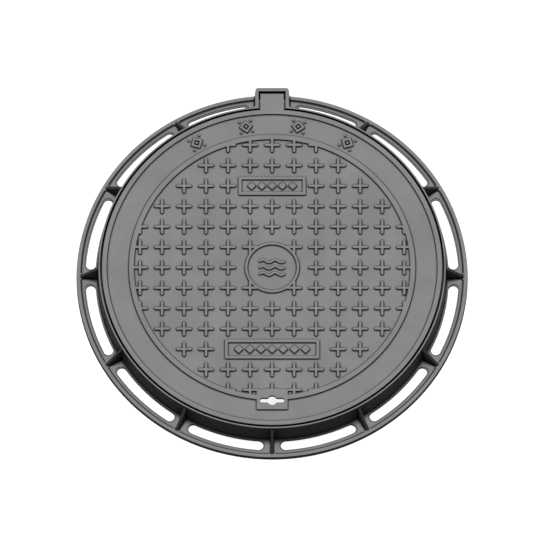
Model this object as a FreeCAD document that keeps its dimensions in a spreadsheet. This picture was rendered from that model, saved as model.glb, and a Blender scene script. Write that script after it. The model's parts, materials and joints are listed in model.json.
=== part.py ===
"""Hinged round manhole cover in its frame, both ductile iron castings.

Millimetres, +Z up. The origin is the centre of the flange's underside, which rests on the
masonry. The hinge box is at +Y and the keyhole at -Y.
"""

import FreeCAD
import Part
import math
import os
import re

import Sketcher
from FreeCAD import Placement, Rotation, Vector

SIZES = {
    # frame
    "flange_radius": 400,
    "total_height": 60,
    "web_thickness": 6,
    "lip_height": 10.5,
    "lip_draft": 1.2,
    "lip_width": 6.7,
    "lip_slope": 3.3,
    "rim_outer": 355.2,
    "rim_width": 3.5,
    "wall_draft": 1.8,
    "foot_fillet": 4,
    "slot_inner": 361.3,
    "slot_width": 20,
    "slot_sectors": 12,
    "slot_gap": 2.75,
    "slot_gap_at_box": 7.5,
    "slot_step_width": 3,
    "slot_step_depth": 1.2,
    "edge_bevel": 0.6,
    "bevel_share": 0.3,
    "rim_draft": 1.4,
    "gusset_thickness": 5.5,
    "gusset_drop": 5,
    "gusset_corner": 4.7,
    "seat_inner": 325,
    "seat_top": 32,
    "seat_thickness": 8,
    "seat_bevel": 1,
    "seat_gusset_thickness": 6,
    "seat_gusset_inset": 3,
    "groove_land": 6.7,
    "groove_depth": 2,
    # hinge box
    "box_half_width": 34.3,
    "box_wall": 6.7,
    "box_far": 395.5,
    "box_far_wall": 6.9,
    "box_draft": 2.2,
    "box_corner": 6,
    "box_fillet": 4,
    "shelf_far": 371,
    "shelf_drop": 2,
    "hinge_y": 368,
    "hinge_drop": 10,
    "hinge_pin_radius": 6,
    "running_gap": 0.08,
    "pin_end_gap": 0.6,
    "roll_pin_radius": 2,
    "roll_pin_wall": 0.5,
    "roll_pin_reach": 2,
    "roll_pin_slit": 0.6,
    "roll_pin_gap": 0.05,
    "roll_pin_room": 1.5,
    # cover
    "rim_gap": 3.7,
    "cover_draft": 1.2,
    "cover_lift": 2.3,
    "plate_thickness": 6,
    "relief": 3.5,
    "relief_slope": 0.9,
    "cover_bevel": 0.7,
    "cover_rim_width": 9.6,
    "skirt_width": 14,
    "skirt_flare": 1.5,
    "border_inner": 281.9,
    "border_width": 11.5,
    "boss_inner": 49.7,
    "boss_width": 6.4,
    "rib_ring_inner": 120,
    "rib_ring_outer": 235,
    "rib_thickness": 5,
    "rib_depth": 14,
    "rib_draft": 1,
    "rib_start": 20,
    "rib_sectors": 12,
    "hub_radius": 24,
    "tab_gap": 3.7,
    "lug_gap": 0.7,
    "tab_far": 383,
    "tab_nose": 2,
    "tread_pitch": 45,
    "tread_length": 34,
    "tread_base": 7.2,
    "tread_top": 4.8,
    "tread_overrun": 4.4,
    "wave_pitch": 14,
    "wave_width": 4.2,
    "upper_panel_y": 180,
    "upper_panel_length": 137,
    "upper_panel_width": 40,
    "lower_panel_y": -180,
    "lower_panel_length": 193,
    "lower_panel_width": 42,
    "panel_border": 6,
    "panel_lozenge": 0.72,
    "lozenge_spacing": 0.93,
    "ornament_radius": 315,
    "ornament_size": 30,
    "ornament_spacing": 19.5,
    "ornament_window": 0.62,
    "ornament_core": 0.34,
    "pip_place": 0.4,
    "pip_base": 2.6,
    "pip_top": 1.8,
    "keyhole_y": -293,
    "key_slot_length": 50,
    "key_slot_width": 10,
    "key_hole_diameter": 20.6,
    "key_wall": 7,
    "key_pad_half_width": 31.5,
    "key_pad_inner": 24,
    "key_pad_outer": 20,
    "key_recess_margin": 3,
    "key_recess_outer": 13,
    "key_recess_inner": 17,
    # gasket
    "gasket_width": 11,
    "gasket_height": 4,
    "gasket_gap": 0.3,
    "gasket_bevel": 0.8,
    # latch
    "latch_y": -313,
    "latch_drop": 21,
    "latch_width": 17,
    "latch_hub": 6.5,
    "hub_corner": 0.6,
    "latch_arm": 7,
    "latch_arm_root": 12,
    "latch_arm_lean": 1.5,
    "latch_below_seat": 16,
    "latch_heel": 3,
    "latch_heel_rise": 2.5,
    "latch_tongue": 8.5,
    "tongue_height": 5,
    "tongue_root": 9,
    "horn_height": 3.2,
    "horn_notch": 6,
    "latch_pin_radius": 3,
    "side_gap": 0.3,
    "lug_room": 3,
    "lug_thickness": 6,
    "lug_radius": 7,
    "latch_head_radius": 5,
    "latch_head_height": 2.5,
    "latch_washer_thickness": 1.2,
    "latch_washer_radius": 6,
    "washer_gap": 0.2,
    "wave_thickness": 0.6,
    "wave_bend": 9,
    "split_pin_radius": 0.9,
    "split_pin_gap": 0.1,
    "split_pin_eye": 2,
    "split_pin_leg": 5,
    "pin_tail": 3.5,
    # joins and cuts
    "overlap": 1,
    "sunk": 0.5,
}

doc = FreeCAD.newDocument("manhole_cover")
sheet = doc.addObject("Spreadsheet::Sheet", "Sizes")
for row, (alias, value) in enumerate(SIZES.items(), start=1):
    sheet.set(f"A{row}", alias)
    sheet.set(f"B{row}", str(value))
    sheet.setAlias(f"B{row}", alias)
doc.recompute()


def bound(expression):
    """The expression with every alias written as a cell of the sheet."""
    def cell(word):
        return f"Sizes.{word[0]}" if word[0] in SIZES else word[0]

    return re.sub("[a-z_]+", cell, expression)


def number(expression):
    """The value of an expression of the sheet's aliases."""
    value = sheet.evalExpression(bound(expression))
    return float(getattr(value, "Value", value))


# Places that several pieces share, as expressions of the sheet.
PLATE_TOP = "total_height - relief"
PLATE_UNDER = "total_height - relief - plate_thickness"
RIM_INNER = "rim_outer - rim_width"
COVER_RADIUS = "rim_outer - rim_width - rim_gap"
SKIRT_FOOT = "seat_top + cover_lift"
SKIRT_INNER = "rim_outer - rim_width - rim_gap - cover_draft - skirt_width"
RIB_FOOT = "total_height - relief - plate_thickness - rib_depth"
HINGE_Z = "total_height - hinge_drop"
LATCH_Z = "total_height - latch_drop"
LUG_SPACING = "( latch_width + lug_room )"
BOX_INNER = "box_half_width - box_wall"
TAB_HALF = "box_half_width - box_wall - tab_gap"
LUG_INNER = "box_half_width - box_wall - tab_gap + lug_gap"
GROOVE_INNER = "seat_inner + groove_land"
GROOVE_OUTER = "seat_inner + groove_land + gasket_width + gasket_gap * 2"


def new_body(label):
    body = doc.addObject("PartDesign::Body", label)
    body.Label = label
    return body


def plane(body, role):
    """One of the body's own origin planes, such as XY_Plane."""
    return next(item for item in body.Origin.OriginFeatures if item.Role == role)


def new_sketch(body, name, role, lift="0", turn=0):
    """A sketch on an origin plane, lifted along its normal and turned about its own Y axis."""
    sketch = body.newObject("Sketcher::SketchObject", name)
    sketch.AttachmentSupport = [(plane(body, role), "")]
    sketch.MapMode = "FlatFace"
    sketch.AttachmentOffset = Placement(Vector(0, 0, number(lift)), Rotation(Vector(0, 1, 0), turn))
    if lift != "0":
        sketch.setExpression(".AttachmentOffset.Base.z", bound(lift))
    return sketch


def pin_point(sketch, geometry, end, x, y=None):
    """Ties a point of the sketch to expressions of the sheet for its place."""
    for kind, value in (("DistanceX", x), ("DistanceY", y)):
        if value is None:
            continue
        index = sketch.addConstraint(Sketcher.Constraint(kind, -1, 1, geometry, end, number(value)))
        sketch.setExpression(f"Constraints[{index}]", bound(value))


def add_outline(sketch, corners):
    """A closed outline of straight lines through corners given as pairs of expressions."""
    points = [Vector(number(x), number(y), 0) for x, y in corners]
    first = sketch.GeometryCount
    for start, end in zip(points, points[1:] + points[:1]):
        sketch.addGeometry(Part.LineSegment(start, end), False)
    for index, (x, y) in enumerate(corners):
        before = first + (index - 1) % len(corners)
        sketch.addConstraint(Sketcher.Constraint("Coincident", before, 2, first + index, 1))
        pin_point(sketch, first + index, 1, x, y)


def add_circle(sketch, x, y, radius):
    circle = Part.Circle(Vector(number(x), number(y), 0), Vector(0, 0, 1), number(radius))
    index = sketch.addGeometry(circle, False)
    pin_point(sketch, index, 3, x, y)
    datum = sketch.addConstraint(Sketcher.Constraint("Radius", index, number(radius)))
    sketch.setExpression(f"Constraints[{datum}]", bound(radius))


def add_curved_slot(sketch, inner, width, start, end):
    """A slot along a circle about the origin, with round ends that reach two angles in degrees."""
    middle = f"( {inner} + {width} / 2 )"
    turn = f"{width} / 2 / {middle} * 180 / pi"
    cap_angles = (f"( {start} + {turn} )", f"( {end} - {turn} )")
    first_angle, last_angle = (math.radians(number(angle)) for angle in cap_angles)
    arcs = []
    for radius in (inner, f"{inner} + {width}"):
        circle = Part.Circle(Vector(0, 0, 0), Vector(0, 0, 1), number(radius))
        arc = sketch.addGeometry(Part.ArcOfCircle(circle, first_angle, last_angle), False)
        sketch.addConstraint(Sketcher.Constraint("Coincident", arc, 3, -1, 1))
        arcs.append(arc)
    # Each cap turns half round, from the inner arc at the near end and to it at the far end.
    for angle, expression, begin, joins in (
        (first_angle, cap_angles[0], math.pi, ((arcs[0], 1), (arcs[1], 2))),
        (last_angle, cap_angles[1], 0, ((arcs[1], 1), (arcs[0], 2))),
    ):
        across = number(middle)
        centre = Vector(across * math.cos(angle), across * math.sin(angle), 0)
        circle = Part.Circle(centre, Vector(0, 0, 1), number(width) / 2)
        cap = sketch.addGeometry(Part.ArcOfCircle(circle, angle + begin, angle + begin + math.pi), False)
        across_sine = f"{middle} * sin( {expression} )" if begin else None
        pin_point(sketch, cap, 3, f"{middle} * cos( {expression} )", across_sine)
        arc_end = 1 if begin else 2
        for arc, cap_end in joins:
            sketch.addConstraint(Sketcher.Constraint("Tangent", arc, arc_end, cap, cap_end))
    datum = sketch.addConstraint(Sketcher.Constraint("Radius", arcs[0], number(inner)))
    sketch.setExpression(f"Constraints[{datum}]", bound(inner))


def checked(body, feature, grows):
    """Recomputes and checks that the feature really added or removed material."""
    before = checked.volumes.get(body.Name, 0)
    doc.recompute()
    after = feature.Shape.Volume
    if (after > before) != grows or abs(after - before) < 1:
        raise RuntimeError(f"{feature.Name} changed nothing: {before:.0f} to {after:.0f}")
    checked.volumes[body.Name] = after
    return feature


checked.volumes = {}


def revolve(body, sketch, grows=True):
    kind = "PartDesign::Revolution" if grows else "PartDesign::Groove"
    feature = body.newObject(kind, f"{sketch.Name}_turned")
    feature.Profile = sketch
    feature.ReferenceAxis = (sketch, ["V_Axis"])
    feature.Angle = 360
    sketch.Visibility = False
    return checked(body, feature, grows)


def pad(body, sketch, length, reversed_side=False, both_sides=False):
    feature = body.newObject("PartDesign::Pad", f"{sketch.Name}_pad")
    feature.Profile = sketch
    feature.Length = number(length)
    feature.setExpression("Length", bound(length))
    feature.Reversed = reversed_side
    feature.Midplane = both_sides
    return checked(body, feature, True)


def pocket(body, sketch, length, reversed_side=False, both_sides=False):
    feature = body.newObject("PartDesign::Pocket", f"{sketch.Name}_pocket")
    feature.Profile = sketch
    feature.Length = number(length)
    feature.setExpression("Length", bound(length))
    feature.Reversed = reversed_side
    feature.Midplane = both_sides
    return checked(body, feature, False)


def around(body, feature, count, angle, grows):
    """Repeats a feature about the vertical axis of its body."""
    axis = next(item for item in body.Origin.OriginFeatures if item.Role == "Z_Axis")
    pattern = body.newObject("PartDesign::PolarPattern", f"{feature.Name}_round")
    pattern.Originals = [feature]
    pattern.Axis = (axis, [""])
    pattern.Angle = angle
    pattern.Occurrences = int(number(count))
    body.Tip = pattern
    return checked(body, pattern, grows)


def mirrored(corners):
    """The corners with X reversed, in the opposite order."""
    return [(f"0 - ( {x} )", y) for x, y in reversed(corners)]


def rectangle(half_width, low, high):
    left = f"0 - ( {half_width} )"
    return [(left, low), (half_width, low), (half_width, high), (left, high)]


def set_shape(label, shape):
    piece = doc.addObject("Part::Feature", label)
    piece.Label = label
    piece.Shape = shape
    return piece


# ---------------------------------------------------------------- frame

def frame_section(body):
    """Flange, lip, wall, rim and seat in one turned section."""
    sketch = new_sketch(body, "frame_section", "XZ_Plane")
    lip_out = "flange_radius - lip_draft"
    lip_in = "flange_radius - lip_draft - lip_width"
    wall_foot = "rim_outer + wall_draft"
    under = "seat_top - seat_thickness"
    add_outline(sketch, [
        (f"{RIM_INNER} - rim_draft", "0"),
        ("flange_radius", "0"),
        (lip_out, "lip_height"),
        (lip_in, "lip_height"),
        (f"{lip_in} - lip_slope", "web_thickness"),
        (f"{wall_foot} + foot_fillet", "web_thickness"),
        (f"{wall_foot} + foot_fillet * bevel_share", "web_thickness + foot_fillet * bevel_share"),
        (wall_foot, "web_thickness + foot_fillet"),
        ("rim_outer", "total_height - edge_bevel"),
        ("rim_outer - edge_bevel", "total_height"),
        (f"{RIM_INNER} + edge_bevel", "total_height"),
        (RIM_INNER, "total_height - edge_bevel"),
        (f"{RIM_INNER} - rim_draft", "seat_top"),
        (GROOVE_OUTER, "seat_top"),
        (GROOVE_OUTER, "seat_top - groove_depth"),
        (GROOVE_INNER, "seat_top - groove_depth"),
        (GROOVE_INNER, "seat_top"),
        ("seat_inner + seat_bevel", "seat_top"),
        ("seat_inner", "seat_top - seat_bevel"),
        ("seat_inner", under),
        (f"{RIM_INNER} - rim_draft", under),
    ])
    revolve(body, sketch)


def frame_slots(body):
    """Curved anchor slots through the flange, each sunk in a shallow step that runs round it.

    The two slots beside the hinge box are shorter.
    """
    sector = 360 / number("slot_sectors")
    turn = "slot_step_width / ( slot_inner + slot_width / 2 ) * 180 / pi"
    for kind, width, grow, floor in (
        ("slot", "slot_width", "0", "0 - overlap"),
        ("step", "( slot_width + slot_step_width )", turn, "web_thickness - slot_step_depth"),
    ):
        length = f"web_thickness + overlap - ( {floor} )"
        places = (
            ("ring", f"{90 + sector} + slot_gap", f"{90 + 2 * sector} - slot_gap"),
            ("right", f"{90 - sector} + slot_gap", "90 - slot_gap_at_box"),
            ("left", "90 + slot_gap_at_box", f"{90 + sector} - slot_gap"),
        )
        for name, start, end in places:
            sketch = new_sketch(body, f"{kind}_{name}", "XY_Plane", lift=floor)
            add_curved_slot(sketch, "slot_inner", width, f"{start} - {grow}", f"{end} + {grow}")
            cut = pocket(body, sketch, length, reversed_side=True)
            if name == "ring":
                around(body, cut, "slot_sectors - 2", 360 - 3 * sector, False)


def frame_gussets(body):
    """Gussets from the lip up to the wall, with filled corners at the lip, and under the seat."""
    lip_in = "flange_radius - lip_draft - lip_width"
    top = "total_height - gusset_drop"
    root = "rim_outer - rim_width / 2"
    foot = "web_thickness - overlap"
    sketch = new_sketch(body, "gusset", "XZ_Plane")
    add_outline(sketch, [
        (root, foot),
        (f"{lip_in} + overlap", foot),
        (f"{lip_in} + overlap", "lip_height"),
        (lip_in, "lip_height"),
        ("rim_outer", top),
        (root, top),
    ])
    gusset = pad(body, sketch, "gusset_thickness", both_sides=True)
    around(body, gusset, "slot_sectors", 360, True)
    sketch = new_sketch(body, "gusset_corner", "XY_Plane", lift="web_thickness - sunk")
    half = "gusset_thickness / 2"
    mid_lip = f"{lip_in} - lip_slope / 2"
    corner = [
        (f"{mid_lip} - gusset_corner", f"{half} - sunk"),
        (f"{lip_in} + overlap", f"{half} - sunk"),
        (f"{lip_in} + overlap", f"{half} + gusset_corner"),
        (mid_lip, f"{half} + gusset_corner"),
        (f"{mid_lip} - gusset_corner * bevel_share", f"{half} + gusset_corner * bevel_share"),
        (f"{mid_lip} - gusset_corner", half),
    ]
    add_outline(sketch, corner)
    add_outline(sketch, [(x, f"0 - ( {y} )") for x, y in reversed(corner)])
    corners = pad(body, sketch, "lip_height - web_thickness + sunk")
    around(body, corners, "slot_sectors", 360, True)
    under = "seat_top - seat_thickness"
    sketch = new_sketch(body, "seat_gusset", "XZ_Plane", turn=180 / number("slot_sectors"))
    add_outline(sketch, [
        (f"{RIM_INNER} - rim_draft - sunk", "overlap"),
        (f"{RIM_INNER} + overlap", "overlap"),
        (f"{RIM_INNER} + overlap", f"{under} + overlap"),
        ("seat_inner + seat_gusset_inset", f"{under} + overlap"),
        ("seat_inner + seat_gusset_inset", f"{under} - seat_gusset_inset"),
    ])
    gusset = pad(body, sketch, "seat_gusset_thickness", both_sides=True)
    around(body, gusset, "slot_sectors", 360, True)


def rounded_box_sketch(body, name, lift, grow):
    """Outline of the hinge box at one level, with its two far corners rounded."""
    sketch = new_sketch(body, name, "XY_Plane", lift=lift)
    half = f"box_half_width + {grow}"
    far = f"box_far + {grow}"
    near = f"{RIM_INNER} + sunk"
    corner_x = number(f"{half} - box_corner")
    corner_y = number(f"{far} - box_corner")
    radius = number("box_corner")
    wide = number(half)
    tall = number(far)
    low = number(near)
    right = Part.Circle(Vector(corner_x, corner_y, 0), Vector(0, 0, 1), radius)
    left = Part.Circle(Vector(-corner_x, corner_y, 0), Vector(0, 0, 1), radius)
    sides = [
        Part.LineSegment(Vector(-wide, low, 0), Vector(wide, low, 0)),
        Part.LineSegment(Vector(wide, low, 0), Vector(wide, corner_y, 0)),
        Part.ArcOfCircle(right, 0, math.pi / 2),
        Part.LineSegment(Vector(corner_x, tall, 0), Vector(-corner_x, tall, 0)),
        Part.ArcOfCircle(left, math.pi / 2, math.pi),
        Part.LineSegment(Vector(-wide, corner_y, 0), Vector(-wide, low, 0)),
    ]
    for side in sides:
        sketch.addGeometry(side, False)
    for index in range(len(sides)):
        sketch.addConstraint(Sketcher.Constraint("Coincident", index, 2, (index + 1) % len(sides), 1))
    pin_point(sketch, 0, 1, f"0 - ( {half} )", near)
    pin_point(sketch, 1, 1, half, near)
    for arc, side in ((2, ""), (4, "0 - ")):
        pin_point(sketch, arc, 3, f"{side}( {half} - box_corner )")
    pin_point(sketch, 1, 2, half, f"{far} - box_corner")
    pin_point(sketch, 3, 1, f"{half} - box_corner", far)
    pin_point(sketch, 3, 2, f"0 - ( {half} - box_corner )", far)
    pin_point(sketch, 4, 2, f"0 - ( {half} )", f"{far} - box_corner")
    return sketch


def frame_box(body):
    """Hinge box: drafted walls, deep well, bearing lugs beside the tab and the pin's bores."""
    foot = rounded_box_sketch(body, "box_foot", "0", "box_draft")
    top = rounded_box_sketch(body, "box_top", "total_height", "0")
    block = body.newObject("PartDesign::AdditiveLoft", "box_block")
    block.Profile = foot
    block.Sections = [top]
    block.Ruled = True
    checked(body, block, True)
    sketch = new_sketch(body, "box_fillets", "XY_Plane")
    rim_y = "sqrt( rim_outer ^ 2 - ( box_half_width + box_fillet ) ^ 2 )"
    root = f"{rim_y} - rim_width / 2"
    fillet = [
        ("box_half_width - overlap", root),
        ("box_half_width + box_fillet", root),
        ("box_half_width + box_fillet", rim_y),
        ("box_half_width + box_fillet * bevel_share", f"{rim_y} + box_fillet * bevel_share"),
        ("box_half_width", f"{rim_y} + box_fillet"),
        ("box_half_width - overlap", f"{rim_y} + box_fillet"),
    ]
    add_outline(sketch, fillet)
    add_outline(sketch, mirrored(fillet))
    pad(body, sketch, "total_height")
    outside = "rim_outer + wall_draft + overlap"
    inside = f"{COVER_RADIUS} - cover_rim_width"
    shelf = "shelf_far + overlap"
    cuts = (
        ("well", BOX_INNER, "shelf_far", "box_far - box_far_wall", "web_thickness"),
        ("well_between_lugs", LUG_INNER, outside, shelf, "web_thickness"),
        ("tab_passage", LUG_INNER, inside, shelf, "seat_top + overlap"),
        ("lug_tops", BOX_INNER, inside, shelf, "total_height - shelf_drop"),
    )
    for name, half, low, high, floor in cuts:
        sketch = new_sketch(body, name, "XY_Plane", lift=floor)
        add_outline(sketch, rectangle(half, low, high))
        pocket(body, sketch, f"total_height - ( {floor} ) + overlap", reversed_side=True)
    sketch = new_sketch(body, "pin_bore", "YZ_Plane")
    add_circle(sketch, "hinge_y", HINGE_Z, "hinge_pin_radius + running_gap")
    pocket(body, sketch, "( box_half_width + box_draft + overlap ) * 2", both_sides=True)


def build_frame():
    body = new_body("frame")
    frame_section(body)
    frame_slots(body)
    frame_gussets(body)
    frame_box(body)
    return body


# ---------------------------------------------------------------- cover

def cover_section(body):
    """Plate with its raised rings, rim and skirt, and two ring ribs below, in one section."""
    sketch = new_sketch(body, "cover_section", "XZ_Plane")
    top = "total_height"
    rim_inner = f"{COVER_RADIUS} - cover_rim_width"
    corners = [("0", PLATE_TOP)]
    for inner, width in (("boss_inner", "boss_width"), ("border_inner", "border_width")):
        corners += [
            (inner, PLATE_TOP),
            (f"{inner} + relief_slope", top),
            (f"{inner} + {width} - relief_slope", top),
            (f"{inner} + {width}", PLATE_TOP),
        ]
    corners += [
        (f"{rim_inner} - relief_slope", PLATE_TOP),
        (rim_inner, top),
        (f"{COVER_RADIUS} - cover_bevel", top),
        (COVER_RADIUS, f"{top} - cover_bevel"),
        (f"{COVER_RADIUS} - cover_draft", SKIRT_FOOT),
        (SKIRT_INNER, SKIRT_FOOT),
        (f"{SKIRT_INNER} - skirt_flare", PLATE_UNDER),
    ]
    for inner in ("rib_ring_outer", "rib_ring_inner"):
        corners += [
            (f"{inner} + rib_thickness + rib_draft", PLATE_UNDER),
            (f"{inner} + rib_thickness", RIB_FOOT),
            (inner, RIB_FOOT),
            (f"{inner} - rib_draft", PLATE_UNDER),
        ]
    corners.append(("0", PLATE_UNDER))
    add_outline(sketch, corners)
    revolve(body, sketch)


def cover_ribs(body):
    """Radial ribs under the plate, turned half a sector so that none crosses the keyhole."""
    sketch = new_sketch(body, "rib", "XZ_Plane", turn=180 / number("rib_sectors"))
    add_outline(sketch, [
        ("rib_start", f"{PLATE_UNDER} + overlap"),
        ("rib_start", RIB_FOOT),
        (f"{SKIRT_INNER} + overlap", RIB_FOOT),
        (f"{SKIRT_INNER} + overlap", f"{PLATE_UNDER} + overlap"),
    ])
    rib = pad(body, sketch, "rib_thickness", both_sides=True)
    around(body, rib, "rib_sectors", 360, True)
    sketch = new_sketch(body, "hub", "XY_Plane", lift=RIB_FOOT)
    add_circle(sketch, "0", "0", "hub_radius")
    pad(body, sketch, "rib_depth + overlap")


def cover_tab(body):
    """Hinge tab: flush with the rim on top, a barrel round the pin below."""
    sketch = new_sketch(body, "tab", "YZ_Plane")
    barrel = "hinge_drop"
    near = f"{COVER_RADIUS} - cover_rim_width"
    add_outline(sketch, [
        (near, "total_height"),
        ("tab_far - edge_bevel", "total_height"),
        ("tab_far", "total_height - edge_bevel"),
        ("tab_far", f"{HINGE_Z} + tab_nose"),
        (f"hinge_y + {barrel} * cos( 30 )", f"{HINGE_Z} - {barrel} * sin( 30 )"),
        (f"hinge_y + {barrel} * cos( 60 )", f"{HINGE_Z} - {barrel} * sin( 60 )"),
        ("hinge_y", f"{HINGE_Z} - {barrel}"),
        (near, f"{HINGE_Z} - {barrel}"),
    ])
    pad(body, sketch, f"( {TAB_HALF} ) * 2", both_sides=True)
    sketch = new_sketch(body, "tab_bore", "YZ_Plane")
    add_circle(sketch, "hinge_y", HINGE_Z, "hinge_pin_radius + running_gap")
    pocket(body, sketch, f"( {TAB_HALF} + overlap ) * 2", both_sides=True)
    sketch = new_sketch(body, "roll_pin_hole", "XY_Plane", lift=f"{HINGE_Z} - {barrel} - overlap")
    add_circle(sketch, "0", "hinge_y", "roll_pin_radius + roll_pin_gap")
    pocket(body, sketch, f"{barrel} + overlap + hinge_pin_radius + roll_pin_room", reversed_side=True)


def cover_panels(body):
    """Two raised rectangular borders on the field."""
    for name in ("upper_panel", "lower_panel"):
        sketch = new_sketch(body, name, "XY_Plane", lift=f"{PLATE_TOP} - sunk")
        for inset in ("0", "panel_border"):
            half = f"{name}_length / 2 - {inset}"
            low = f"{name}_y - {name}_width / 2 + {inset}"
            high = f"{name}_y + {name}_width / 2 - {inset}"
            add_outline(sketch, rectangle(half, low, high))
        pad(body, sketch, "relief + sunk")


def cover_key_pad(body):
    """Raised pad round the keyhole, with the iron thinned below it."""
    sketch = new_sketch(body, "key_pad", "XY_Plane", lift=f"{PLATE_TOP} - sunk")
    outer = "keyhole_y - key_pad_outer"
    inner = "keyhole_y + key_pad_inner"
    add_outline(sketch, rectangle("key_pad_half_width", outer, inner))
    pad(body, sketch, "relief + sunk")
    below = f"{PLATE_UNDER} - overlap"
    through = "relief + plate_thickness + overlap * 2"
    sketch = new_sketch(body, "key_recess", "XY_Plane", lift=below)
    outer = "keyhole_y - key_recess_outer"
    inner = "keyhole_y + key_recess_inner"
    add_outline(sketch, rectangle("key_pad_half_width + key_recess_margin", outer, inner))
    pocket(body, sketch, "relief + plate_thickness + overlap - key_wall", reversed_side=True)
    sketch = new_sketch(body, "key_slot", "XY_Plane", lift=below)
    add_straight_slot(sketch)
    pocket(body, sketch, through, reversed_side=True)
    sketch = new_sketch(body, "key_hole", "XY_Plane", lift=below)
    add_circle(sketch, "0", "keyhole_y", "key_hole_diameter / 2")
    pocket(body, sketch, through, reversed_side=True)


def latch_lugs(body):
    """The two lugs below the key pad that carry the latch's pin."""
    reach = "lug_radius"
    corner = "lug_radius * tan( 22.5 )"
    root = f"{PLATE_UNDER} + overlap"
    for name, side in (("latch_lug_right", 1), ("latch_lug_left", -1)):
        place = f"( {LUG_SPACING} + lug_thickness ) / 2 * {side}"
        sketch = new_sketch(body, name, "YZ_Plane", lift=place)
        add_outline(sketch, [
            (f"latch_y - {reach}", root),
            (f"latch_y - {reach}", f"{LATCH_Z} - {corner}"),
            (f"latch_y - {corner}", f"{LATCH_Z} - {reach}"),
            (f"latch_y + {corner}", f"{LATCH_Z} - {reach}"),
            (f"latch_y + {reach}", f"{LATCH_Z} - {corner}"),
            (f"latch_y + {reach}", root),
        ])
        pad(body, sketch, "lug_thickness", both_sides=True)
    sketch = new_sketch(body, "latch_bore", "YZ_Plane")
    add_circle(sketch, "latch_y", LATCH_Z, "latch_pin_radius + running_gap")
    pocket(body, sketch, f"( {LUG_SPACING} / 2 + lug_thickness + overlap ) * 2", both_sides=True)


def add_straight_slot(sketch):
    """Straight slot along X at the keyhole, with round ends."""
    reach = number("( key_slot_length - key_slot_width ) / 2")
    radius = number("key_slot_width / 2")
    middle = number("keyhole_y")
    low = middle - radius
    high = middle + radius
    right = Part.Circle(Vector(reach, middle, 0), Vector(0, 0, 1), radius)
    left = Part.Circle(Vector(-reach, middle, 0), Vector(0, 0, 1), radius)
    pieces = [
        Part.LineSegment(Vector(-reach, low, 0), Vector(reach, low, 0)),
        Part.ArcOfCircle(right, -math.pi / 2, math.pi / 2),
        Part.LineSegment(Vector(reach, high, 0), Vector(-reach, high, 0)),
        Part.ArcOfCircle(left, math.pi / 2, math.pi * 1.5),
    ]
    for piece in pieces:
        sketch.addGeometry(piece, False)
    for index in range(len(pieces)):
        sketch.addConstraint(Sketcher.Constraint("Coincident", index, 2, (index + 1) % len(pieces), 1))
    half = "( key_slot_length - key_slot_width ) / 2"
    for arc, side in ((1, ""), (3, "0 - ")):
        pin_point(sketch, arc, 3, f"{side}( {half} )")
    pin_point(sketch, 0, 1, f"0 - ( {half} )", "keyhole_y - key_slot_width / 2")
    pin_point(sketch, 0, 2, half, "keyhole_y - key_slot_width / 2")
    pin_point(sketch, 2, 1, half, "keyhole_y + key_slot_width / 2")
    pin_point(sketch, 2, 2, f"0 - ( {half} )", "keyhole_y + key_slot_width / 2")


def tapered_bar(length, base, top, low, high):
    """A bar along X with sloping sides and cone-shaped ends, centred on the Z axis."""
    reach = length / 2 - base / 2
    section = Part.makePolygon([
        Vector(-reach, -base / 2, low), Vector(-reach, base / 2, low),
        Vector(-reach, top / 2, high), Vector(-reach, -top / 2, high), Vector(-reach, -base / 2, low),
    ])
    bar = Part.Face(section).extrude(Vector(2 * reach, 0, 0))
    ends = [Part.makeCone(base / 2, top / 2, high - low, Vector(x, 0, low)) for x in (-reach, reach)]
    return bar.fuse(ends)


def plus_solid():
    """One plus of the tread: two tapered bars, sunk a little into the plate."""
    low = number(f"{PLATE_TOP} - sunk")
    high = number("total_height")
    base = number("tread_base + ( tread_base - tread_top ) / relief * sunk")
    bar = tapered_bar(number("tread_length"), base, number("tread_top"), low, high)
    across = bar.copy()
    across.rotate(Vector(0, 0, 0), Vector(0, 0, 1), 90)
    return bar.fuse(across).removeSplitter()


def tread_places():
    """Grid points that carry a plus: inside the border ring and clear of boss and panels."""
    pitch = number("tread_pitch")
    arm = number("tread_length") / 2
    reach = number("border_inner + tread_overrun")
    steps = int(reach // pitch)
    for row in range(-steps, steps + 1):
        for column in range(-steps, steps + 1):
            x = column * pitch
            y = row * pitch
            if math.hypot(x, y) > reach or math.hypot(x, y) < number("boss_inner"):
                continue
            if any(
                abs(x) < number(f"{name}_length / 2") + arm and abs(y - number(f"{name}_y")) < arm
                for name in ("upper_panel", "lower_panel")
            ):
                continue
            yield x, y


def tread_relief():
    """All the pluses, trimmed where the border ring or the key pad is already at full height."""
    plus = plus_solid()
    arm = number("tread_length") / 2
    height = number("total_height")
    limit = number("border_inner + border_width / 2")
    pad_half = number("key_pad_half_width - overlap")
    pad_top = number("keyhole_y + key_pad_inner - overlap")
    pad_room = Part.makeBox(2 * pad_half, limit, height, Vector(-pad_half, pad_top - limit, 0))
    room = Part.makeCylinder(limit, height).cut(pad_room)
    pieces = []
    for x, y in tread_places():
        piece = plus.copy()
        piece.translate(Vector(x, y, 0))
        meets_ring = math.hypot(x, y) + arm > limit
        meets_pad = abs(x) - arm < pad_half and y - arm < pad_top
        if meets_ring or meets_pad:
            piece = piece.common(room)
        pieces.append(piece)
    return pieces


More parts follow.
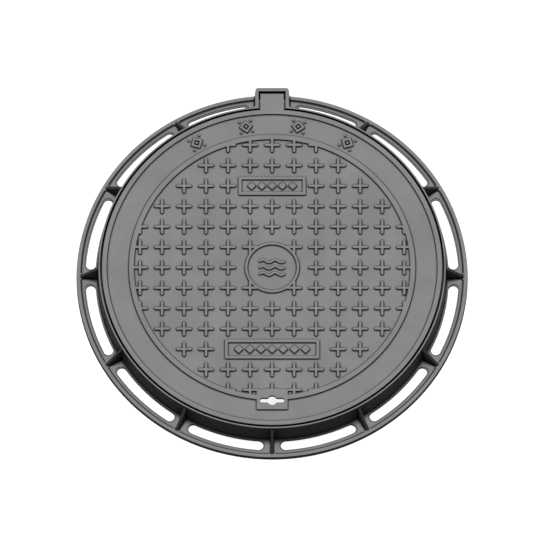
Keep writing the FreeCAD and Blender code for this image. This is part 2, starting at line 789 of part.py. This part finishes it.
def wave(length, width, low, high):
    """A raised wave along X, made of four arcs of a ring that bend up and down in turn."""
    quarter = length / 4
    radius = quarter / math.sqrt(2)
    pieces = []
    for index in range(4):
        x = (index - 1.5) * quarter
        side = 1 if index % 2 == 0 else -1
        centre = Vector(x, -side * radius / math.sqrt(2), low)
        outer = Part.makeCylinder(radius + width / 2, high - low, centre, Vector(0, 0, 1), 90)
        inner = Part.makeCylinder(radius - width / 2, high - low, centre)
        arc = outer.cut(inner)
        arc.rotate(centre, Vector(0, 0, 1), 45 if side == 1 else 225)
        pieces.append(arc)
    for x in (-length / 2, length / 2):
        pieces.append(Part.makeCylinder(width / 2, high - low, Vector(x, 0, low)))
    return pieces[0].fuse(pieces[1:]).removeSplitter()


def diamond(size, low, high):
    """A raised lozenge with sloping sides."""
    slope = (high - low) * 0.5
    rings = []
    for half, z in ((size / 2, low), (size / 2 - slope, high)):
        corners = [Vector(half, 0, z), Vector(0, half, z), Vector(-half, 0, z), Vector(0, -half, z)]
        rings.append(Part.makePolygon(corners + corners[:1]))
    return Part.makeLoft(rings, True, True)


def boss_waves(low, high):
    for row in (-1, 0, 1):
        ripple = wave(number("boss_inner"), number("wave_width"), low, high)
        ripple.translate(Vector(0, row * number("wave_pitch"), 0))
        yield ripple


def panel_lozenges(low, high):
    for name in ("upper_panel", "lower_panel"):
        size = number(f"( {name}_width - panel_border * 2 ) * panel_lozenge")
        run = number(f"{name}_length - panel_border * 2") - size
        count = int(run // (size * number("lozenge_spacing")))
        for index in range(count):
            lozenge = diamond(size, low, high)
            x = (index - (count - 1) / 2) * run / count
            lozenge.translate(Vector(x, number(f"{name}_y"), 0))
            yield lozenge


def rim_ornaments(low, high):
    """Four groups on the rim: a lozenge in a lozenge frame, with a pip on each side."""
    size = number("ornament_size")
    window = diamond(size * number("ornament_window"), low, high)
    place = size * number("pip_place")
    for index in range(4):
        group = diamond(size, low, high).cut(window)
        group = group.fuse(diamond(size * number("ornament_core"), low, high))
        for corner in range(4):
            foot = Vector(place, place, low)
            pip = Part.makeCone(number("pip_base"), number("pip_top"), high - low, foot)
            pip.rotate(Vector(0, 0, 0), Vector(0, 0, 1), 90 * corner)
            group = group.fuse(pip)
        group.translate(Vector(0, number("ornament_radius"), 0))
        turn = (index - 1.5) * number("ornament_spacing")
        group.rotate(Vector(0, 0, 0), Vector(0, 0, 1), turn)
        yield group


def decoration():
    """Plain ornaments: waves on the boss, lozenges in the panels, framed lozenges on the rim."""
    low = number(f"{PLATE_TOP} - sunk")
    high = number("total_height")
    pieces = []
    for ornaments in (boss_waves, panel_lozenges, rim_ornaments):
        pieces += ornaments(low, high)
    return pieces


def build_cover():
    body = new_body("cover_blank")
    cover_section(body)
    cover_ribs(body)
    cover_tab(body)
    cover_panels(body)
    cover_key_pad(body)
    latch_lugs(body)
    relief = set_shape("cover_relief", Part.makeCompound(tread_relief() + decoration()))
    cover = doc.addObject("Part::MultiFuse", "cover")
    cover.Shapes = [body, relief]
    cover.Label = "cover"
    doc.recompute()
    return cover


# ---------------------------------------------------------------- small pieces

def build_gasket():
    body = new_body("seat_gasket")
    sketch = new_sketch(body, "gasket_section", "XZ_Plane")
    inner = f"{GROOVE_INNER} + gasket_gap"
    foot = "seat_top - groove_depth"
    add_outline(sketch, [
        (inner, foot),
        (f"{inner} + gasket_width", foot),
        (f"{inner} + gasket_width", f"{foot} + gasket_height - gasket_bevel"),
        (f"{inner} + gasket_width - gasket_bevel", f"{foot} + gasket_height"),
        (f"{inner} + gasket_bevel", f"{foot} + gasket_height"),
        (inner, f"{foot} + gasket_height - gasket_bevel"),
    ])
    revolve(body, sketch)
    return body


def build_hinge_pin():
    body = new_body("hinge_pin")
    sketch = new_sketch(body, "pin_round", "YZ_Plane")
    add_circle(sketch, "hinge_y", HINGE_Z, "hinge_pin_radius")
    pad(body, sketch, "( box_half_width - pin_end_gap ) * 2", both_sides=True)
    below = f"{HINGE_Z} - hinge_pin_radius - overlap"
    sketch = new_sketch(body, "cross_hole", "XY_Plane", lift=below)
    add_circle(sketch, "0", "hinge_y", "roll_pin_radius + roll_pin_gap")
    pocket(body, sketch, "( hinge_pin_radius + overlap ) * 2", reversed_side=True)
    return body


def build_roll_pin():
    """Slotted spring pin: a tube with a narrow slit along it."""
    radius = number("roll_pin_radius")
    length = number("hinge_pin_radius * 2 + roll_pin_reach")
    foot = Vector(0, number("hinge_y"), number(HINGE_Z) - length / 2)
    tube = Part.makeCylinder(radius, length, foot)
    tube = tube.cut(Part.makeCylinder(radius - number("roll_pin_wall"), length, foot))
    slit_width = number("roll_pin_slit")
    slit = Part.makeBox(slit_width, 2 * radius, length, foot - Vector(slit_width / 2, 0, 0))
    return set_shape("hinge_roll_pin", tube.cut(slit))


def build_latch():
    """Hook with its tongue drawn in, a notched horn above the pivot and an arm below."""
    body = new_body("latch")
    sketch = new_sketch(body, "latch_outline", "YZ_Plane")
    hub = "latch_hub"
    corner = f"{hub} * hub_corner"
    top = f"{LATCH_Z} + {hub} + horn_height"
    foot = "seat_top - seat_thickness - latch_below_seat"
    inside = f"latch_y + {hub} - latch_arm"
    add_outline(sketch, [
        (f"latch_y - {hub}", f"{LATCH_Z} - {corner}"),
        (f"latch_y - {hub}", f"{LATCH_Z} + {corner}"),
        (f"latch_y - {corner}", top),
        (f"latch_y + {corner}", top),
        (f"latch_y + {hub}", f"{LATCH_Z} + {corner}"),
        (f"latch_y + {hub}", f"{LATCH_Z} - {corner}"),
        (f"latch_y + {hub} + latch_heel", f"{foot} + latch_heel_rise"),
        ("latch_y - latch_tongue + latch_arm_lean", foot),
        ("latch_y - latch_tongue", f"{foot} + tongue_height"),
        (f"{inside} + overlap", f"{foot} + tongue_root"),
        (f"{inside} - latch_arm_lean", f"{LATCH_Z} - latch_arm_root"),
    ])
    pad(body, sketch, "latch_width", both_sides=True)
    sketch = new_sketch(body, "horn_notch", "XY_Plane", lift=f"{LATCH_Z} + latch_hub - sunk")
    ends = [f"latch_y {sign} ( latch_hub + overlap )" for sign in "-+"]
    add_outline(sketch, rectangle("horn_notch / 2", *ends))
    pocket(body, sketch, "horn_height + sunk + overlap", reversed_side=True)
    sketch = new_sketch(body, "latch_eye", "YZ_Plane")
    add_circle(sketch, "latch_y", LATCH_Z, "latch_pin_radius + running_gap")
    pocket(body, sketch, "latch_width + overlap * 2", both_sides=True)
    shift = number("side_gap - lug_room / 2")
    body.Placement = Placement(Vector(shift, 0, 0), Rotation())
    return body


def along_x(radius, length, start_x):
    """A cylinder along X on the latch's axis."""
    start = Vector(start_x, number("latch_y"), number(LATCH_Z))
    return Part.makeCylinder(radius, length, start, Vector(1, 0, 0))


def washer_ring(length, start_x):
    """A ring round the latch's pin, with the washers' inner and outer radius."""
    ring = along_x(number("latch_washer_radius"), length, start_x)
    return ring.cut(along_x(number("latch_pin_radius + washer_gap"), length, start_x))


def build_latch_pin(hole_middle):
    """Headed pin with a cross hole for the split pin in its tail."""
    head = number("latch_head_height")
    start = -number(f"{LUG_SPACING} / 2 + lug_thickness + side_gap") - head
    length = hole_middle.x + number("pin_tail") - start
    pin = along_x(number("latch_pin_radius"), length, start)
    pin = pin.fuse(along_x(number("latch_head_radius"), head, start)).removeSplitter()
    reach = number("latch_pin_radius + overlap")
    foot = hole_middle - Vector(0, 0, reach)
    hole = Part.makeCylinder(number("split_pin_radius + split_pin_gap"), 2 * reach, foot)
    return set_shape("latch_pin", pin.cut(hole))


def build_wave_washer():
    """Spring washer between the latch and a lug, bent about an axis along Y."""
    start = number(f"side_gap * 2 + latch_width - {LUG_SPACING} / 2")
    end = number(f"{LUG_SPACING} / 2 - side_gap")
    bend = number("wave_bend")
    width = number("latch_washer_radius") * 2 + number("overlap") * 2
    centre = Vector(end - bend, number("latch_y") - width / 2, number(LATCH_Z))
    sheet_bend = Part.makeCylinder(bend, width, centre, Vector(0, 1, 0))
    inner_bend = Part.makeCylinder(bend - number("wave_thickness"), width, centre, Vector(0, 1, 0))
    ring = washer_ring(end - start, start)
    return set_shape("latch_wave_washer", ring.common(sheet_bend.cut(inner_bend)))


def build_split_pin(hole_middle):
    """Split pin: a round eye above the latch's pin and two spread legs below it."""
    radius = number("split_pin_radius")
    reach = number("latch_pin_radius + overlap")
    eye_radius = number("split_pin_eye")
    foot = hole_middle - Vector(0, 0, reach)
    shank = Part.makeCylinder(radius, 2 * reach, foot)
    eye_middle = hole_middle + Vector(0, 0, reach + eye_radius)
    parts = [Part.makeTorus(eye_radius, radius * 0.8, eye_middle, Vector(1, 0, 0))]
    for side in (-1, 1):
        spread = Vector(0, side, -0.8)
        start = foot + Vector(0, 0, radius / 2)
        parts.append(Part.makeCylinder(radius * 0.75, number("split_pin_leg"), start, spread))
    return set_shape("latch_split_pin", shank.fuse(parts).removeSplitter())


def build_latch_hardware():
    """Headed pin, flat washer, wave washer and split pin of the latch."""
    washer_start = number(f"{LUG_SPACING} / 2 + lug_thickness + side_gap")
    thickness = number("latch_washer_thickness")
    hole_x = washer_start + thickness + number("side_gap + washer_gap + split_pin_radius")
    hole_middle = Vector(hole_x, number("latch_y"), number(LATCH_Z))
    return [
        build_latch_pin(hole_middle),
        set_shape("latch_washer", washer_ring(thickness, washer_start)),
        build_wave_washer(),
        build_split_pin(hole_middle),
    ]


def main():
    pieces = [build_frame(), build_cover(), build_gasket()]
    pieces += [build_hinge_pin(), build_roll_pin(), build_latch()]
    pieces += build_latch_hardware()
    doc.recompute()
    for item in doc.Objects:
        if "Invalid" in item.State or "Error" in item.State:
            raise RuntimeError(f"{item.Name}: {item.State}")
    os.makedirs("parts", exist_ok=True)
    for piece in pieces:
        shape = piece.Shape
        if shape.isNull() or not shape.isValid():
            raise RuntimeError(f"{piece.Label} has no valid shape")
        shape.exportStep(f"parts/{piece.Label}.step")
        print(f"{piece.Label}: {len(shape.Solids)} solid, {shape.Volume / 1000:.1f} cm3")


main()
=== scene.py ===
"""Looks of a hinged manhole cover in its frame: grey-coated cast iron on a white floor.

Metres, +Z up, the CAD part's own frame. The hinge box is at +Y and the keyhole at -Y.
"""

import json
import math

import bpy
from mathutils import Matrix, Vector


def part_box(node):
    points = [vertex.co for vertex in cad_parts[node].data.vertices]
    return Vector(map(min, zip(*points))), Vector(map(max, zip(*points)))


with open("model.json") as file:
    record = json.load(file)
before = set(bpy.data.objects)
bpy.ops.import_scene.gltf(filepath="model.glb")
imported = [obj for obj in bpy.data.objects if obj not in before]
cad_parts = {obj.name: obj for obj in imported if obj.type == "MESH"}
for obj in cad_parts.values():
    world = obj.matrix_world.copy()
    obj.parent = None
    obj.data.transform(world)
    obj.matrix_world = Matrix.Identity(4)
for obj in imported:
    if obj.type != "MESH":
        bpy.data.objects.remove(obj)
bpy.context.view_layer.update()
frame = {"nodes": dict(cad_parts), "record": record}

MM = 0.001

# Camera: a parallel view from the keyhole's side, steep enough to show the frame's near wall.
CAMERA_ELEVATION = 67.94
CAMERA_DISTANCE = 3.0
VIEW_WIDTH = 1.1242
VIEW_CENTRE = (5.9 * MM, -15.3 * MM)  # from the point aimed at, to the right and up in the view
AIM_DEPTH = 1.3 * MM  # how far below the cover's top the camera is aimed

# Light: one soft sun from high behind the hinge, and a dim even fill.
SUN_TILT = 11.0
SUN_STRENGTH = 2.8
SUN_SOFTNESS = 14.0
FILL = 0.13

# Floor: its glow alone is nearly white, and its grey base adds the rest where no shadow falls.
FLOOR_SIZE = 14.0
FLOOR_GLOW = 0.88
FLOOR_GAP = 0.2 * MM  # keeps the floor out of the flange's underside
SEEN_FLOOR = (0.3, 0.3, 0.3)
UNSEEN_FLOOR = (0.05, 0.05, 0.05)

NOISE_RANGE = (0.3, 0.7)  # most values of a noise texture lie between these


# ---------------------------------------------------------------- nodes

def new_material(name):
    """An empty node material with its shader."""
    material = bpy.data.materials.new(name)
    material.use_nodes = True
    tree = material.node_tree
    tree.nodes.clear()
    output = tree.nodes.new("ShaderNodeOutputMaterial")
    shader = tree.nodes.new("ShaderNodeBsdfPrincipled")
    tree.links.new(shader.outputs["BSDF"], output.inputs["Surface"])
    return material, tree, shader


def coordinates(tree):
    return tree.nodes.new("ShaderNodeTexCoord").outputs["Object"]


def noise(tree, scale, detail=3.0, roughness=0.5, distortion=0.0):
    """Noise in object space; scale counts features per metre."""
    node = tree.nodes.new("ShaderNodeTexNoise")
    tree.links.new(coordinates(tree), node.inputs["Vector"])
    node.inputs["Scale"].default_value = scale
    node.inputs["Detail"].default_value = detail
    node.inputs["Roughness"].default_value = roughness
    node.inputs["Distortion"].default_value = distortion
    return node.outputs["Fac"]


def cells(tree, scale):
    """Distance to the nearest of random points; scale counts cells per metre."""
    node = tree.nodes.new("ShaderNodeTexVoronoi")
    tree.links.new(coordinates(tree), node.inputs["Vector"])
    node.inputs["Scale"].default_value = scale
    return node.outputs["Distance"]


def ramp(tree, value, stops):
    """A colour ramp; each stop is a place and a grey level."""
    node = tree.nodes.new("ShaderNodeValToRGB")
    elements = node.color_ramp.elements
    while len(elements) < len(stops):
        elements.new(0.5)
    for element, (place, level) in zip(elements, stops):
        element.position = place
        element.color = (level, level, level, 1.0)
    tree.links.new(value, node.inputs["Fac"])
    return node.outputs["Color"]


def fade(tree, value, span, levels=(0.0, 1.0)):
    """The first level below the span, the second above it, and a slope between."""
    return ramp(tree, value, list(zip(span, levels)))


def mix_colour(tree, kind, factor, first, second):
    """Blends two colours; factor and either colour is a socket or a constant."""
    node = tree.nodes.new("ShaderNodeMix")
    node.data_type = "RGBA"
    node.blend_type = kind
    for name, value in (("Factor", factor), ("A", first), ("B", second)):
        socket = next(item for item in node.inputs if item.name == name and item.enabled)
        if isinstance(value, bpy.types.NodeSocket):
            tree.links.new(value, socket)
        elif name == "Factor":
            socket.default_value = value
        else:
            socket.default_value = (*value, 1.0)
    return next(item for item in node.outputs if item.enabled)


def maths(tree, operation, first, second=0.0, third=0.0):
    """One sum on numbers or sockets."""
    node = tree.nodes.new("ShaderNodeMath")
    node.operation = operation
    for index, value in enumerate((first, second, third)):
        if isinstance(value, bpy.types.NodeSocket):
            tree.links.new(value, node.inputs[index])
        else:
            node.inputs[index].default_value = value
    return node.outputs["Value"]


def between(tree, share, low, high):
    """Low where the share is 0 and high where it is 1."""
    return maths(tree, "MULTIPLY_ADD", share, high - low, low)


def bump(tree, height, depth, normal=None):
    """A bump whose height runs from 0 to depth metres."""
    node = tree.nodes.new("ShaderNodeBump")
    node.inputs["Strength"].default_value = 1.0
    node.inputs["Distance"].default_value = depth
    tree.links.new(height, node.inputs["Height"])
    if normal is not None:
        tree.links.new(normal, node.inputs["Normal"])
    return node.outputs["Normal"]


def rounded_edges(tree, radius):
    """The normal with each edge rounded to a radius."""
    node = tree.nodes.new("ShaderNodeBevel")
    node.samples = 6
    node.inputs["Radius"].default_value = radius
    return node.outputs["Normal"]


def sharpness(tree, rounded):
    """0 on faces, and more the further an edge's rounding turns the normal."""
    geometry = tree.nodes.new("ShaderNodeNewGeometry")
    compare = tree.nodes.new("ShaderNodeVectorMath")
    compare.operation = "DOT_PRODUCT"
    tree.links.new(rounded, compare.inputs[0])
    tree.links.new(geometry.outputs["Normal"], compare.inputs[1])
    return maths(tree, "SUBTRACT", 1.0, compare.outputs["Value"])


def openness(tree, reach):
    """1 in the open and towards 0 in inner corners within a reach."""
    shade = tree.nodes.new("ShaderNodeAmbientOcclusion")
    shade.samples = 8
    shade.inputs["Distance"].default_value = reach
    return shade.outputs["AO"]


def levelness(tree):
    """1 on faces that lie level in the piece's own frame, and towards 0 on its sides."""
    split = tree.nodes.new("ShaderNodeSeparateXYZ")
    texture = tree.nodes.new("ShaderNodeTexCoord")
    tree.links.new(texture.outputs["Normal"], split.inputs["Vector"])
    return maths(tree, "ABSOLUTE", split.outputs["Z"])


def toned(colour, share):
    """A colour darkened or lightened to a share of its levels."""
    return tuple(level * share for level in colour)


# ---------------------------------------------------------------- cast iron

COVER_COAT = (0.238, 0.238, 0.241)
LATCH_COAT = (0.2, 0.2, 0.203)

# Tones as shares of the coat's own.
SIDE_SHADE_TONE = 0.22  # painted shade on the castings' upright sides
BLOTCH_TONES = (0.93, 1.07)
RUBBED_TONE = 1.5

# Features per metre.
GRIT = 900.0
PITS = 330.0
SWELLS = 120.0
BLOTCHES = 14.0

# How each feature shows in the tone, and how high it stands beside the grit.
BLOTCH_SPAN = (0.35, 0.68)
GRIT_SPAN = (0.3, 0.62)
GRIT_LEVELS = (0.55, 1.0)
GRIT_SHARE = 0.22
PIT_PROFILE = [(0.0, 0.0), (0.16, 0.75), (0.3, 1.0)]  # from a pit's middle outwards
PIT_SHARE = 0.3
PIT_HEIGHT = 0.35
SWELL_HEIGHT = 1.2

# Faces, edges and inner corners.
GRAIN_DEPTH = 0.08 * MM
SIDE_GRAIN = 0.05  # share of the grain that shows on the sides
LEVEL_SPAN = (0.66, 0.92)  # from a side to a level face
CREASE_REACH = 4.0 * MM
CREASE_SPAN = (0.7, 0.95)  # from full painted shade in inner corners to none
EDGE_RADIUS = 0.6 * MM
WEAR_GAIN = 3.0
WEAR_EVEN = 0.1  # share of the wear that comes without the swells
MOST_WEAR = 0.4

COAT_ROUGHNESS = (0.62, 0.78)
RUBBED_ROUGHNESS = (0.5, 0.5, 0.5)
SIDE_SPECULAR = 0.08
LEVEL_SPECULAR = 0.3


def cast_iron(name, coat):
    """Sand-cast iron under a thin grey coating: fine grain, faint blotches, rubbed edges, and painted
    shade on its sides and in its inner corners.
    """
    material, tree, shader = new_material(name)
    grit = noise(tree, GRIT, detail=5.0, roughness=0.62)
    swell = noise(tree, SWELLS, detail=3.0, roughness=0.55)
    blotches = noise(tree, BLOTCHES, detail=4.0, roughness=0.6, distortion=0.4)
    pits = ramp(tree, cells(tree, PITS), PIT_PROFILE)
    level_face = fade(tree, levelness(tree), LEVEL_SPAN)
    crease_shade = fade(tree, openness(tree, CREASE_REACH), CREASE_SPAN)

    dark, light = (toned(coat, share) for share in BLOTCH_TONES)
    tone = mix_colour(tree, "MIX", fade(tree, blotches, BLOTCH_SPAN), dark, light)
    tone = mix_colour(tree, "MULTIPLY", GRIT_SHARE, tone, fade(tree, grit, GRIT_SPAN, GRIT_LEVELS))
    tone = mix_colour(tree, "MULTIPLY", PIT_SHARE, tone, pits)
    # Painted shade: the upright sides darkened to a share of the coat's tone.
    tone = mix_colour(tree, "MIX", level_face, toned(coat, SIDE_SHADE_TONE), tone)
    # Painted shade: darker in inner corners, by ambient occlusion.
    tone = mix_colour(tree, "MULTIPLY", 1.0, tone, crease_shade)

    rounded = rounded_edges(tree, EDGE_RADIUS)
    wear = maths(tree, "MULTIPLY", sharpness(tree, rounded), WEAR_GAIN)
    wear = maths(tree, "MULTIPLY", wear, between(tree, swell, WEAR_EVEN, 1.0))
    wear = maths(tree, "MULTIPLY", maths(tree, "MINIMUM", wear, MOST_WEAR), level_face)
    tone = mix_colour(tree, "MIX", wear, tone, toned(coat, RUBBED_TONE))
    tree.links.new(tone, shader.inputs["Base Color"])

    rough = fade(tree, grit, NOISE_RANGE, COAT_ROUGHNESS)
    rough = mix_colour(tree, "MIX", wear, rough, RUBBED_ROUGHNESS)
    tree.links.new(rough, shader.inputs["Roughness"])
    shine = between(tree, level_face, SIDE_SPECULAR, LEVEL_SPECULAR)
    tree.links.new(shine, shader.inputs["Specular IOR Level"])

    height = maths(tree, "MULTIPLY_ADD", swell, SWELL_HEIGHT, grit)
    height = maths(tree, "MULTIPLY_ADD", pits, PIT_HEIGHT, height)
    height = maths(tree, "MULTIPLY", height, between(tree, level_face, SIDE_GRAIN, 1.0))
    tree.links.new(bump(tree, height, GRAIN_DEPTH, rounded), shader.inputs["Normal"])
    return material


# ---------------------------------------------------------------- rubber

RUBBER_GRAIN = 1400.0  # features per metre
RUBBER_GRAIN_DEPTH = 0.05 * MM
RUBBER_ROUGHNESS = (0.55, 0.75)
BLOOM = 45.0  # patches per metre
BLOOM_SPAN = (0.4, 0.7)
CLEAN_RUBBER = (0.022, 0.022, 0.023)
DUSTY_RUBBER = (0.045, 0.045, 0.047)


def rubber(name):
    """Black moulded rubber with faint bloom and a fine satin grain."""
    material, tree, shader = new_material(name)
    grain = noise(tree, RUBBER_GRAIN, detail=4.0, roughness=0.6)
    dusty = fade(tree, noise(tree, BLOOM), BLOOM_SPAN)
    tone = mix_colour(tree, "MIX", dusty, CLEAN_RUBBER, DUSTY_RUBBER)
    tree.links.new(tone, shader.inputs["Base Color"])
    tree.links.new(fade(tree, grain, NOISE_RANGE, RUBBER_ROUGHNESS), shader.inputs["Roughness"])
    tree.links.new(bump(tree, grain, RUBBER_GRAIN_DEPTH), shader.inputs["Normal"])
    return material


# ---------------------------------------------------------------- steel

DRAWN_LINES = (60.0, 2600.0, 2600.0)  # features per metre along X, the drawing's way, and across it
LINE_DEPTH = 0.02 * MM
STEEL_EDGE_RADIUS = 0.3 * MM
STEEL_ROUGHNESS = (0.52, 0.66)
CLOUDS = 160.0  # per metre
CLOUD_SPAN = (0.35, 0.7)
DARK_STEEL = (0.17, 0.17, 0.17)
LIGHT_STEEL = (0.24, 0.24, 0.24)


def zinc_steel(name):
    """Steel with a dull zinc-flake coating: dark grey, faint drawn lines along X, cloudy."""
    material, tree, shader = new_material(name)
    stretch = tree.nodes.new("ShaderNodeMapping")
    stretch.inputs["Scale"].default_value = DRAWN_LINES
    tree.links.new(coordinates(tree), stretch.inputs["Vector"])
    lines = tree.nodes.new("ShaderNodeTexNoise")
    lines.inputs["Scale"].default_value = 1.0
    lines.inputs["Detail"].default_value = 3.0
    tree.links.new(stretch.outputs["Vector"], lines.inputs["Vector"])
    clouds = fade(tree, noise(tree, CLOUDS), CLOUD_SPAN)
    tree.links.new(mix_colour(tree, "MIX", clouds, DARK_STEEL, LIGHT_STEEL), shader.inputs["Base Color"])
    shader.inputs["Metallic"].default_value = 1.0
    sheen = fade(tree, lines.outputs["Fac"], NOISE_RANGE, STEEL_ROUGHNESS)
    tree.links.new(sheen, shader.inputs["Roughness"])
    rounded = rounded_edges(tree, STEEL_EDGE_RADIUS)
    tree.links.new(bump(tree, lines.outputs["Fac"], LINE_DEPTH, rounded), shader.inputs["Normal"])
    return material


def dress():
    """Gives every CAD node its material by the record's slot."""
    looks = {
        "cast_iron_frame": cast_iron("coated_iron_frame", COVER_COAT),
        "cast_iron_cover": cast_iron("coated_iron_cover", COVER_COAT),
        "cast_iron_latch": cast_iron("coated_iron_latch", LATCH_COAT),
        "rubber": rubber("moulded_rubber"),
        "steel": zinc_steel("zinc_steel"),
    }
    for part in frame["record"]["subparts"]:
        node = frame["nodes"][part["node"]]
        for slot in node.material_slots:
            slot.material = looks[part["material_slot"]]


# ---------------------------------------------------------------- stage

def floor_material():
    """White to the camera and in reflections, with the shadow on it, and dark as a fill."""
    material, tree, shader = new_material("pale_floor")
    path = tree.nodes.new("ShaderNodeLightPath")
    seen = maths(tree, "MAXIMUM", path.outputs["Is Camera Ray"], path.outputs["Is Glossy Ray"])
    seen = maths(tree, "MAXIMUM", seen, path.outputs["Is Transmission Ray"])
    tree.links.new(mix_colour(tree, "MIX", seen, UNSEEN_FLOOR, SEEN_FLOOR), shader.inputs["Base Color"])
    shader.inputs["Roughness"].default_value = 1.0
    shader.inputs["Specular IOR Level"].default_value = 0.0
    shader.inputs["Emission Color"].default_value = (1.0, 1.0, 1.0, 1.0)
    tree.links.new(maths(tree, "MULTIPLY", seen, FLOOR_GLOW), shader.inputs["Emission Strength"])
    return material


def build_floor():
    bpy.ops.mesh.primitive_plane_add(size=FLOOR_SIZE, location=(0.0, 0.0, -FLOOR_GAP))
    floor = bpy.context.object
    floor.name = "floor"
    floor.data.materials.append(floor_material())


def build_world():
    """White where the camera sees it, and a dim fill for everything else."""
    world = bpy.data.worlds.new("studio")
    bpy.context.scene.world = world
    world.use_nodes = True
    tree = world.node_tree
    tree.nodes.clear()
    output = tree.nodes.new("ShaderNodeOutputWorld")
    background = tree.nodes.new("ShaderNodeBackground")
    path = tree.nodes.new("ShaderNodeLightPath")
    strength = maths(tree, "MAXIMUM", path.outputs["Is Camera Ray"], FILL)
    background.inputs["Color"].default_value = (1.0, 1.0, 1.0, 1.0)
    tree.links.new(strength, background.inputs["Strength"])
    tree.links.new(background.outputs["Background"], output.inputs["Surface"])


def build_lamp():
    data = bpy.data.lights.new("sun", "SUN")
    data.energy = SUN_STRENGTH
    data.angle = math.radians(SUN_SOFTNESS)
    lamp = bpy.data.objects.new("sun", data)
    lamp.rotation_euler = (-math.radians(SUN_TILT), 0.0, 0.0)
    bpy.context.collection.objects.link(lamp)


def build_camera():
    data = bpy.data.cameras.new("camera")
    data.type = "ORTHO"
    data.ortho_scale = VIEW_WIDTH
    camera = bpy.data.objects.new("camera", data)
    bpy.context.collection.objects.link(camera)
    _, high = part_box("cover")
    aim = Vector((0.0, 0.0, high[2] - AIM_DEPTH))
    elevation = math.radians(CAMERA_ELEVATION)
    backwards = Vector((0.0, -math.cos(elevation), math.sin(elevation)))
    upwards = Vector((0.0, math.sin(elevation), math.cos(elevation)))
    right, up = VIEW_CENTRE
    camera.location = aim + Vector((right, 0.0, 0.0)) + upwards * up + backwards * CAMERA_DISTANCE
    camera.rotation_euler = (math.radians(90.0) - elevation, 0.0, 0.0)
    bpy.context.scene.camera = camera


dress()
build_floor()
build_world()
build_lamp()
build_camera()
bpy.context.scene.view_settings.view_transform = "Standard"
